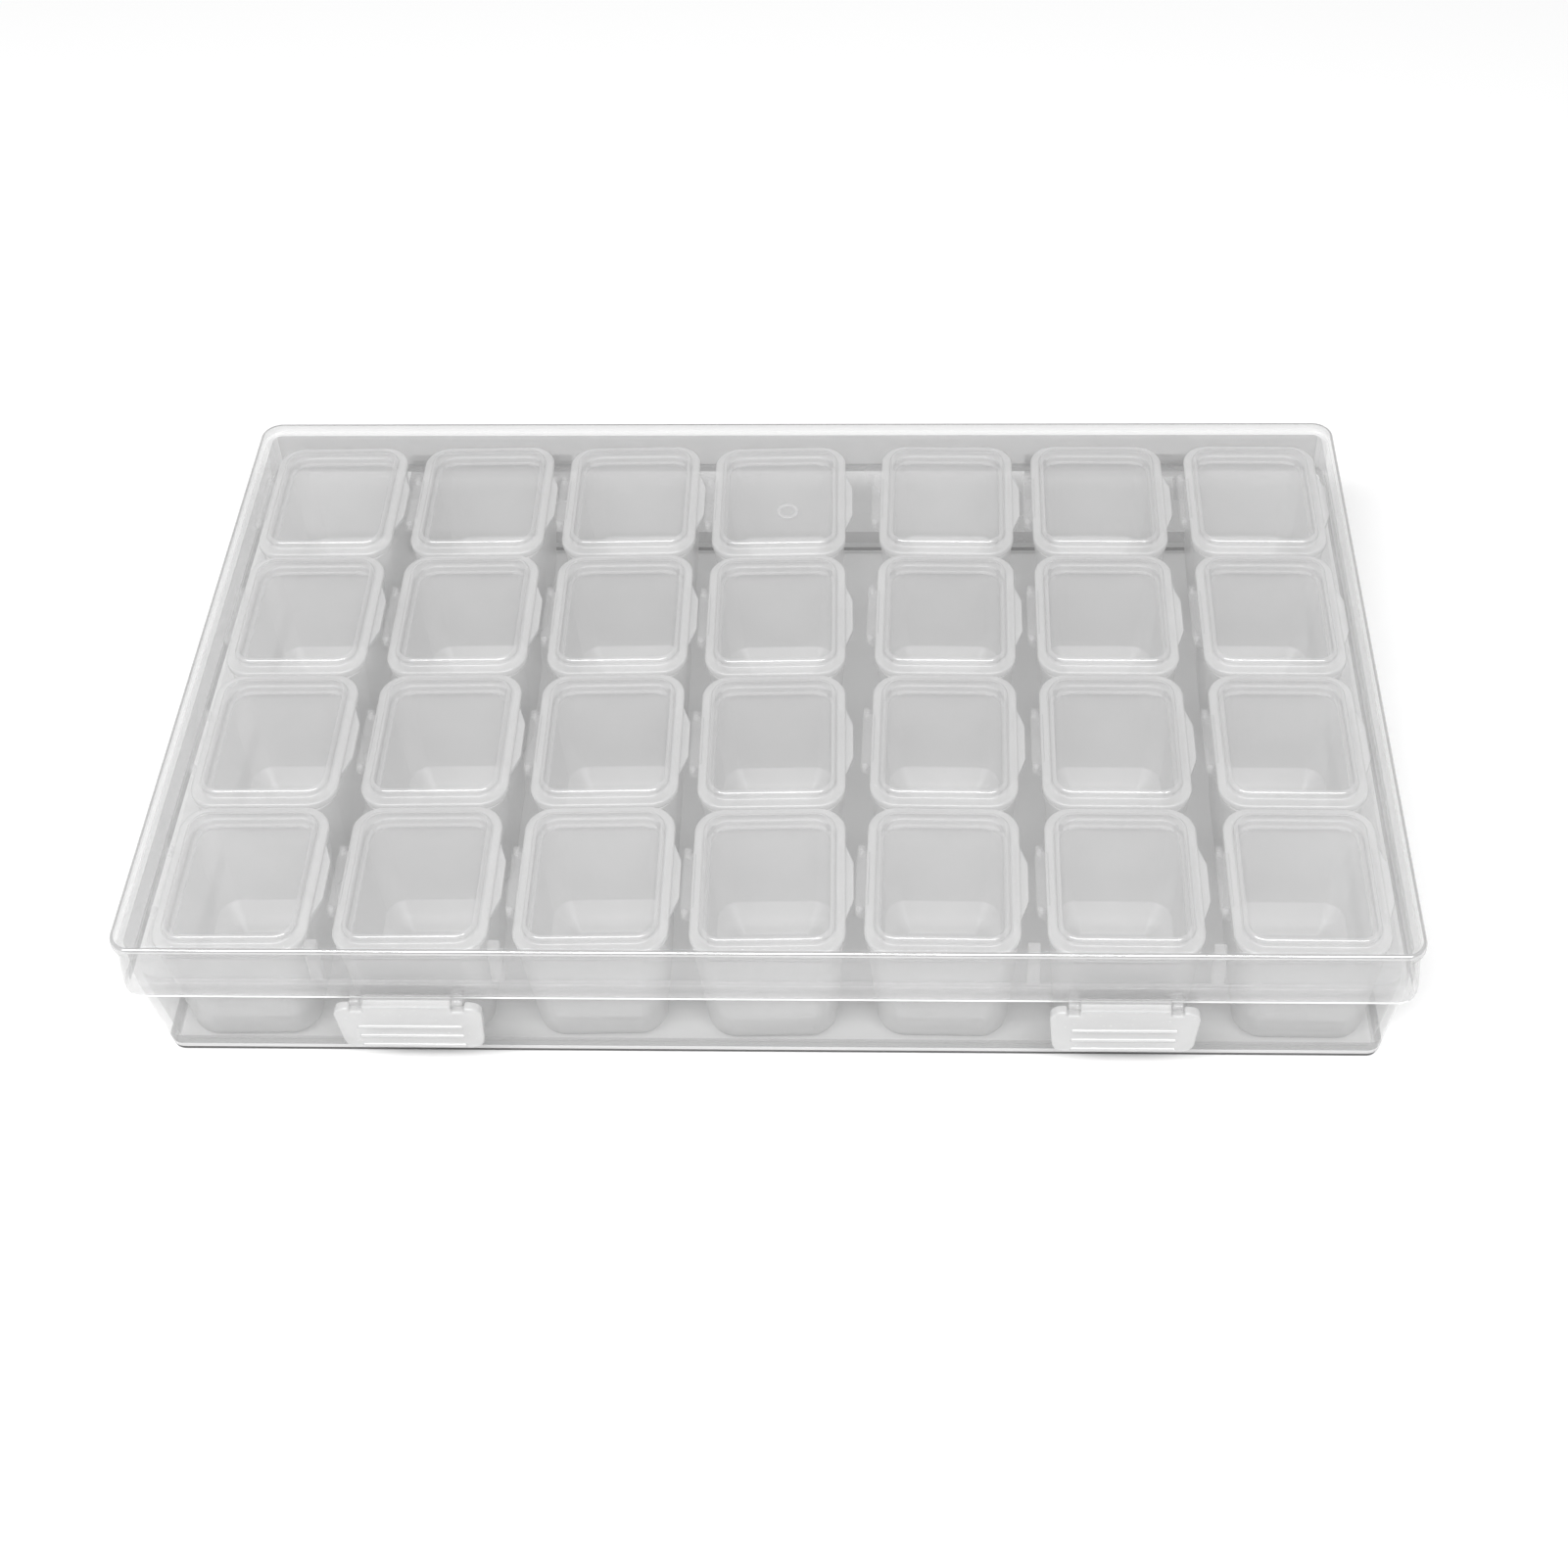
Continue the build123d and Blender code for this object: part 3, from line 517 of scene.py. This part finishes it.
def pad_ridge(top):
    """One soft ridge of the thumb pad."""
    low = top - RIDGE_HEIGHT
    slope = 0.3
    outline = [
        (face_y(top) + RIDGE_SUNK, top),
        (face_y(top) - RIDGE_PROUD, top - slope),
        (face_y(low) - RIDGE_PROUD, low + slope),
        (face_y(low) + RIDGE_SUNK, low),
    ]
    return bar(outline, "YZ", -RIDGE_HALF, RIDGE_HALF, 0.16)


# ---------------------------------------------------------------- cups
CLIP = 1  # the ears' finish on a strip


def cup_section(inset, corner, height):
    """A cup's outline at a height, drawn in from its drafted outside."""
    share = (CUP_TOP - height) / (CUP_TOP - CUP_FOOT)
    width = CUP_WIDTH - 2 * CUP_DRAFT_SIDE * share - 2 * inset
    depth = CUP_DEPTH - 2 * CUP_DRAFT_END * share - 2 * inset
    return width, depth, max(corner - inset, 0.6), height


def foot_sections(floor, wall, radius, steps=4):
    """The foot of a cup's inner or outer face, from its floor up to its wall. One step is a chamfer."""
    sections = []
    for step in range(steps + 1):
        angle = math.radians(90 * step / steps)
        inset = wall + radius * (1 - math.sin(angle))
        height = floor + radius * (1 - math.cos(angle))
        sections.append(cup_section(inset, CUP_CORNER, height))
    return sections


def cup_form():
    """One open cup: up its inside, over the rim and down its outside."""
    inner = foot_sections(CUP_FOOT + CUP_FLOOR, CUP_WALL, FOOT_CHAMFER, steps=1)
    outer = foot_sections(CUP_FOOT, 0, FOOT_ROUND)
    rim = [cup_section(CUP_WALL, CUP_CORNER, CUP_TOP), cup_section(0, CUP_CORNER, CUP_TOP)]
    return soften(form_of_rings(inner + rim + outer[::-1]), 0.2, segments=2)


def clip_outline():
    """A clip ear seen from the front, open to the left around the lid's pin."""
    root = -CUP_WIDTH / 2 + CUP_WALL / 2
    reach, slot, mouth = 0.62, 0.35, -0.5
    return [
        (root, AXIS_Z - 2.0),
        (root, CUP_TOP - 0.1),
        (AXIS_X + reach, CUP_TOP - 0.1),
        (AXIS_X + reach, AXIS_Z + reach / 2),
        (AXIS_X + reach / 2, AXIS_Z + reach),
        (AXIS_X + mouth, AXIS_Z + reach),
        (AXIS_X + mouth, AXIS_Z + slot),
        (AXIS_X + slot, AXIS_Z + slot),
        (AXIS_X + slot, AXIS_Z - slot),
        (AXIS_X + mouth, AXIS_Z - slot),
    ]


def strip_form():
    """Four cups in a row with the webs between them and the ears for their lids."""
    cup = cup_form()
    parts = []
    for number in range(4):
        y = (number - 1.5) * CUP_PITCH
        parts.append(moved_copy(cup, Matrix.Translation((0, y, 0))))
        for place in CLIP_PLACES:
            front = y + place
            clip = bar(clip_outline(), "XZ", front, front + CLIP_LENGTH, 0.06)
            give_finish(clip, CLIP)
            parts.append(clip)
        if number:
            middle = y - CUP_PITCH / 2
            depths = (middle - WEB_THICK / 2, middle + WEB_THICK / 2)
            parts.append(brick((-WEB_HALF, WEB_HALF), depths, WEB_HEIGHTS))
    cup.free()
    return joined(parts)


# ---------------------------------------------------------------- cup lids
WINDOW, WINDOW_EDGE = 1, 2  # a cup lid's finishes beside its rim
MARKED_LID = "cup_lid_4_4"
MARK_RADII, MARK_PROUD, MARK_PLACE = (1.15, 1.7), 0.2, (1.4, -4.0, 0)


def flip_lid_form():
    """A cup lid: frosted rim and plug ring, raised clear window, tab, tongue and pins."""
    sections = [
        (*HOLLOW_PLAN, WINDOW_HIGH - WINDOW_THICK),
        (*HOLLOW_PLAN, PLUG_LOW),
        (*PLUG_PLAN, PLUG_LOW),
        (*PLUG_PLAN, PLATE_LOW),
        (*PLATE_PLAN, PLATE_LOW),
        (*PLATE_PLAN, PLATE_HIGH),
        (*RAISED_PLAN, PLATE_HIGH),
        (*RAISED_PLAN, WINDOW_HIGH),
    ]
    plate = form_of_rings(sections)
    soften(plate, 0.6, segments=5, edge_finish=WINDOW_EDGE, above=WINDOW_HIGH - 0.1)
    soften(plate, 0.34)
    for face in plate.faces:
        middle = face.calc_center_median()
        in_window = abs(middle.x) < WINDOW_HALF_WIDTH and abs(middle.y) < WINDOW_HALF_DEPTH
        if in_window and face.material_index != WINDOW_EDGE:
            face.material_index = WINDOW
    return joined([plate, tab_form(), tongue_form(), flip_pin(-1), flip_pin(1)])


def tab_form():
    """The finger tab on a cup lid's right edge."""
    edge, root, reach = FLIP_WIDTH / 2, 0.6, 1.1
    half_root, half_end, thick = 6.4, 3.2, 0.8
    outline = [
        (edge - root, -half_root),
        (edge, -half_root),
        (edge + reach, -half_end),
        (edge + reach, half_end),
        (edge, half_root),
        (edge - root, half_root),
    ]
    return bar(outline, "XY", PLATE_LOW, PLATE_LOW + thick, 0.15)


def tongue_form():
    """A cup lid's rounded hinge edge, between the ears."""
    overlap = 0.6
    left, right = AXIS_X - TONGUE_OUT, -FLIP_WIDTH / 2 + overlap
    outline = [(left, PLATE_LOW), (right, PLATE_LOW), (right, PLATE_HIGH), (left, PLATE_HIGH)]
    tongue = flat_outline(outline, "XZ")
    round_corners(tongue, 0.45, lambda co: co.x < left + 0.01)
    thicken(tongue, ALONG_Y, -TONGUE_HALF, TONGUE_HALF)
    soften(tongue, 0.1, 2)
    give_finish(tongue, WINDOW)
    return tongue


def flip_pin(side):
    """A cup lid's square hinge pin, on one side of its tongue."""
    length = sorted((side * FLIP_PIN_FROM, side * FLIP_PIN_TO))
    width = (AXIS_X - FLIP_PIN_HALF, AXIS_X + FLIP_PIN_HALF)
    height = (AXIS_Z - FLIP_PIN_HALF, AXIS_Z + FLIP_PIN_HALF)
    pin = brick(width, length, height, 0.05)
    give_finish(pin, WINDOW)
    return pin


def gate_mark():
    """The small raised ring that the mould's gate leaves on a window."""
    bm = bmesh.new()
    rings = []
    for radius in MARK_RADII:
        rings += bmesh.ops.create_circle(bm, segments=32, radius=radius)["verts"]
    bmesh.ops.bridge_loops(bm, edges=ring_edges(rings))
    thicken(bm, ALONG_Z, WINDOW_HIGH - 0.05, WINDOW_HIGH + MARK_PROUD)
    soften(bm, 0.1, 3, sharp=math.radians(50))
    bmesh.ops.translate(bm, verts=bm.verts, vec=MARK_PLACE)
    give_finish(bm, WINDOW_EDGE)
    return bm


def lid_places(joints):
    """Where each cup lid lies, from its hinge: its middle and its strip's slight turn."""
    places = {}
    for joint in joints:
        name = joint["child"]
        if not name.startswith("cup_lid_"):
            continue
        turn = math.atan2(joint["axis"][0], -joint["axis"][1])
        spot = Vector(joint["pos_m"]) / MM
        spot.z = 0
        rotation = Matrix.Rotation(turn, 4, "Z")
        middle = spot - rotation @ Vector((AXIS_X, 0, 0))
        places[name] = Matrix.Translation(middle) @ rotation
    return places


# ---------------------------------------------------------------- shader writing
class Value:
    """A socket whose operators add Math nodes."""

    def __init__(self, paint, socket):
        self.paint = paint
        self.socket = socket

    def _math(self, operation, first, second):
        return self.paint.node("ShaderNodeMath", {"operation": operation}, {0: first, 1: second})

    def __add__(self, other):
        return self._math("ADD", self, other)

    def __radd__(self, other):
        return self._math("ADD", other, self)

    def __sub__(self, other):
        return self._math("SUBTRACT", self, other)

    def __rsub__(self, other):
        return self._math("SUBTRACT", other, self)

    def __mul__(self, other):
        return self._math("MULTIPLY", self, other)

    def __rmul__(self, other):
        return self._math("MULTIPLY", other, self)


class Paint:
    """A material's nodes."""

    def __init__(self, name):
        self.material = bpy.data.materials.new(name)
        self.material.use_nodes = True
        self.tree = self.material.node_tree
        self.tree.nodes.clear()

    def node(self, kind, settings, sockets, output=0):
        made = self.tree.nodes.new(kind)
        for key, value in settings.items():
            setattr(made, key, value)
        for key, value in sockets.items():
            if isinstance(value, Value):
                self.tree.links.new(value.socket, made.inputs[key])
            else:
                made.inputs[key].default_value = value
        return Value(self, made.outputs[output])

    def place(self):
        return self.node("ShaderNodeTexCoord", {}, {}, "Object")

    def noise(self, scale, detail=3.0, stretch=(1, 1, 1)):
        at = self.node("ShaderNodeMapping", {}, {"Vector": self.place(), "Scale": stretch})
        sockets = {"Vector": at, "Scale": scale, "Detail": detail, "Roughness": 0.5}
        return self.node("ShaderNodeTexNoise", {}, sockets)

    def tint(self, share, low, high):
        made = self.tree.nodes.new("ShaderNodeMix")
        made.data_type = "RGBA"
        colour_inputs = [s for s in made.inputs if s.type == "RGBA"]
        self.tree.links.new(share.socket, made.inputs[0])
        colour_inputs[0].default_value = (*low, 1)
        colour_inputs[1].default_value = (*high, 1)
        return Value(self, next(s for s in made.outputs if s.type == "RGBA"))

    def bump(self, height, distance):
        sockets = {"Height": height, "Distance": distance, "Strength": 1.0}
        return self.node("ShaderNodeBump", {}, sockets, "Normal")

    def surface(self, **sockets):
        names = {key.replace("_", " "): value for key, value in sockets.items()}
        shader = self.node("ShaderNodeBsdfPrincipled", {}, names)
        self.node_output(shader)
        return self.material

    def node_output(self, shader):
        output = self.tree.nodes.new("ShaderNodeOutputMaterial")
        self.tree.links.new(shader.socket, output.inputs["Surface"])


def grey(level):
    return level, level, level


def clear_plastic(name, level, opacity, ior=2.0, roughness=0.1, wave=0.0):
    """Clear plastic: a little milk in it, gloss, and the slow waves of a moulded sheet."""
    paint = Paint(name)
    cloud = paint.noise(38.0, 3.0)
    waves = paint.noise(95.0, 2.0, stretch=(1, 0.6, 1))
    scuff = paint.noise(1400.0, 2.0)
    return paint.surface(
        Base_Color=paint.tint(cloud, grey(level * 0.95), grey(min(level * 1.05, 1))),
        Roughness=roughness + 0.1 * scuff,
        IOR=ior,
        Alpha=opacity + 0.12 * opacity * (cloud - 0.5),
        Normal=paint.bump(waves * 0.8 + scuff * 0.02, wave),
    )


def frosted_plastic(name, level, opacity, roughness, grain):
    """Satin plastic: milky, with a fine matt grain and slow cloudiness."""
    paint = Paint(name)
    cloud = paint.noise(60.0, 4.0)
    matt = paint.noise(2600.0, 2.0)
    return paint.surface(
        Base_Color=paint.tint(cloud, grey(level * 0.94), grey(min(level * 1.06, 1))),
        Roughness=roughness + 0.16 * matt,
        IOR=2.0,
        Alpha=opacity + 0.25 * opacity * (cloud - 0.5),
        Normal=paint.bump(matt + cloud * 3.0, grain),
    )


# ---------------------------------------------------------------- floor, light and camera
def pale_floor():
    """A round white floor that glows a little, from some way out from the case."""
    bm = bmesh.new()
    bmesh.ops.create_circle(bm, cap_ends=True, segments=96, radius=6.0)
    mesh = bpy.data.meshes.new("floor")
    bm.to_mesh(mesh)
    bm.free()
    floor = bpy.data.objects.new("floor", mesh)
    bpy.context.scene.collection.objects.link(floor)
    paint = Paint("floor white")
    cloud = paint.noise(2.0)
    away = paint.node("ShaderNodeVectorMath", {"operation": "LENGTH"}, {0: paint.place()}, "Value")
    reach = {"Value": away, "From Min": 0.6, "From Max": 2.2}
    far = paint.node("ShaderNodeMapRange", {"interpolation_type": "SMOOTHSTEP"}, reach)
    lit = paint.surface(
        Base_Color=paint.tint(cloud, grey(0.86), grey(0.89)),
        Roughness=0.9,
        Emission_Color=paint.tint(far, grey(0.0), grey(0.75)),
        Emission_Strength=1.0,
    )
    lit.cycles.emission_sampling = "NONE"
    mesh.materials.append(lit)


def area_light(name, place, size, power):
    """A rectangular lamp that shines at the case."""
    light = bpy.data.lights.new(name, "AREA")
    light.shape = "RECTANGLE"
    light.size, light.size_y = size
    light.energy = power
    lamp = bpy.data.objects.new(name, light)
    bpy.context.scene.collection.objects.link(lamp)
    lamp.location = place
    lamp.rotation_euler = (-Vector(place)).to_track_quat("-Z", "Y").to_euler()


def studio():
    """A white room, and a long soft lamp above the front."""
    world = bpy.data.worlds.new("studio")
    bpy.context.scene.world = world
    world.use_nodes = True
    background = world.node_tree.nodes["Background"]
    background.inputs["Color"].default_value = (1, 1, 1, 1)
    background.inputs["Strength"].default_value = 0.38
    area_light("front softbox", place=(-0.05, -0.62, 1.0), size=(1.5, 0.26), power=20.5)


def camera():
    """A lens of 56 mm looking down on the case from the front, a little to its right."""
    place = (0.021629, -0.248742, 0.285815)
    yaw, pitch, roll = 0.0419, 0.7452, -0.0287
    forward = Vector((-math.sin(yaw) * math.cos(pitch), math.cos(yaw) * math.cos(pitch), -math.sin(pitch)))
    right = Vector((math.cos(yaw), math.sin(yaw), 0))
    up = right.cross(forward)
    turned_right = math.cos(roll) * right + math.sin(roll) * up
    turned_up = -math.sin(roll) * right + math.cos(roll) * up
    turn = Matrix((turned_right, turned_up, -forward)).transposed()
    lens = bpy.data.cameras.new("camera")
    lens.sensor_width = 36
    lens.lens = 55.805
    lens.shift_x = -0.0429
    lens.shift_y = -0.1734
    lens.clip_start = 0.01
    eye = bpy.data.objects.new("camera", lens)
    bpy.context.scene.collection.objects.link(eye)
    eye.matrix_world = Matrix.Translation(place) @ turn.to_4x4()
    bpy.context.scene.camera = eye


# ---------------------------------------------------------------- finishes
def case_finishes():
    """The finishes of the lid and of the tray, in the order of their numbers. Most are lit and shaded copies
    of one clear plastic, with painted light and shade.
    """
    panel = clear_plastic("clear panel", level=0.62, opacity=0.12, roughness=0.08, wave=0.00007)
    # painted shade: a darker, more opaque copy on the lid's walls
    lid_wall_painted_shade = clear_plastic("clear lid wall, painted shade", level=0.50, opacity=0.32, wave=0.0001)
    # painted light: the tray's floor, lighter and more opaque where lids and cups shade it
    base_floor_painted_light = clear_plastic("clear base floor, painted light", level=0.92, opacity=0.45, wave=0.0001)
    # painted shade: a darker copy on the tray's walls
    base_wall_painted_shade = clear_plastic("clear base wall, painted shade", level=0.38, opacity=0.15, wave=0.0001)
    # painted shade: a dark, nearly opaque tone that draws the lip's dark outline; the white line at its front
    # comes from its gloss
    lip = clear_plastic("polished lip", level=0.40, opacity=0.75, ior=4.0, roughness=0.05)
    # painted highlight: a near-white, nearly opaque band along the skirt's lower edge
    painted_highlight_edge = clear_plastic("painted highlight edge", level=0.95, opacity=0.92)
    # painted shadow: a nearly black, opaque line along the tray's bottom edge at the front and back
    foot = clear_plastic("painted shadow edge", level=0.05, opacity=0.92, ior=1.4, roughness=0.30)
    # painted shade: darker and more opaque low on the tray's front and back walls
    low = clear_plastic("clear wall foot, painted shade", level=0.28, opacity=0.58, ior=1.6, roughness=0.15, wave=0.00005)
    # painted highlight: a light band along the tray's bottom bevel
    painted_highlight_foot = clear_plastic("painted highlight foot", level=0.62, opacity=0.80, ior=1.8, roughness=0.15)
    # painted light: a lighter, more opaque copy of the lid's wall on its sides and back
    lid_side_painted_light = clear_plastic("clear lid side, painted light", level=0.64, opacity=0.46, wave=0.00008)
    # painted shade: a dark inner face on the lid's back wall
    back = clear_plastic("clear lid back, painted shade", level=0.30, opacity=0.50, ior=1.8, roughness=0.12, wave=0.00008)
    # painted light: a lighter, more opaque copy of the tray's wall on its sides and back
    base_side_painted_light = clear_plastic("clear base side, painted light", level=0.85, opacity=0.32, wave=0.00008)
    hinge = clear_plastic("clear hinge", level=0.72, opacity=0.42, ior=2.4, roughness=0.12)
    rib = clear_plastic("clear rib", level=0.80, opacity=0.20, ior=1.8, roughness=0.20)
    lid = [panel, lid_wall_painted_shade, lip, painted_highlight_edge, foot, rib, lid_side_painted_light, low, hinge, back]
    tray = [base_floor_painted_light, base_wall_painted_shade, lip, painted_highlight_foot, foot, rib, base_side_painted_light, low, hinge]
    return lid, tray


def cup_lid_finishes():
    """A cup lid's finishes: rim, window and the window's edge."""
    window = clear_plastic("lid window", level=0.80, opacity=0.13, roughness=0.12, wave=0.0001)
    window_edge = clear_plastic("window edge", level=0.80, opacity=0.42, ior=3.2)
    rim = frosted_plastic("frosted rim", level=0.80, opacity=0.44, roughness=0.16, grain=0.000004)
    return [rim, window, window_edge]


def strip_finishes():
    """A strip's finishes: cups and clip ears."""
    cups = frosted_plastic("frosted cup", level=0.84, opacity=0.44, roughness=0.30, grain=0.000004)
    clip = clear_plastic("frosted clip", level=0.72, opacity=0.12, ior=1.3, roughness=0.60)
    return [cups, clip]


def latch_finishes():
    """A latch's finishes: plate and barrel."""
    latch = frosted_plastic("frosted latch", level=0.62, opacity=0.56, roughness=0.16, grain=0.0000015)
    # painted shade: a clearer copy of the latch's plastic that keeps the round barrel from looking lit
    barrel_shade = clear_plastic("latch barrel, painted shade", level=0.62, opacity=0.24, ior=1.8, roughness=0.30)
    return [latch, barrel_shade]


def make_case():
    lid, tray = case_finishes()
    finish_piece(case_lid_form(), "clear_lid", "case_lid", "case_lid", lid)
    finish_piece(case_base_form(), "clear_base", "case", "case_base", tray)
    latch = latch_finishes()
    for side, x in (("left", -LATCH_X), ("right", LATCH_X)):
        node = f"latch_{side}"
        finish_piece(latch_form(x), f"{side}_latch", node, node, latch)


def make_strips(joints):
    """The seven strips, each with its four cup lids."""
    places = lid_places(joints)
    strip, strip_looks = strip_form(), strip_finishes()
    flip, flip_looks = flip_lid_form(), cup_lid_finishes()
    for number in range(1, 8):
        first, last = places[f"cup_lid_{number}_1"], places[f"cup_lid_{number}_4"]
        middle = (first.translation + last.translation) / 2
        where = Matrix.Translation(middle) @ first.to_3x3().to_4x4()
        form = moved_copy(strip, where)
        finish_piece(form, f"cup_strip_{number}", "case", f"strip_{number}", strip_looks)
        for cup in range(1, 5):
            node = f"cup_lid_{number}_{cup}"
            form = moved_copy(flip, places[node])
            if node == MARKED_LID:
                form = joined([form, moved_copy(gate_mark(), places[node])])
            finish_piece(form, f"flip_lid_{number}_{cup}", node, node, flip_looks)
    strip.free()
    flip.free()


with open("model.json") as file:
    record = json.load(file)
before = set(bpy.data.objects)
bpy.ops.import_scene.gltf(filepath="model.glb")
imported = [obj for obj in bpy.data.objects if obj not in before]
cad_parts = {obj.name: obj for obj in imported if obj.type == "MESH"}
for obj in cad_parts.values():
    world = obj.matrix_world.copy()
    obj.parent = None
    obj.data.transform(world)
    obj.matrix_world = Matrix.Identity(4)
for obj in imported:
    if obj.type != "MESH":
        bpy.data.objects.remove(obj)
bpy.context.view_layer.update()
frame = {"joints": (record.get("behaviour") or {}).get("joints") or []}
make_case()
make_strips(frame["joints"])
pale_floor()
studio()
camera()
bpy.context.scene.view_settings.view_transform = "Standard"
bpy.context.scene.cycles.transparent_max_bounces = 64
bpy.context.scene.cycles.max_bounces = 6
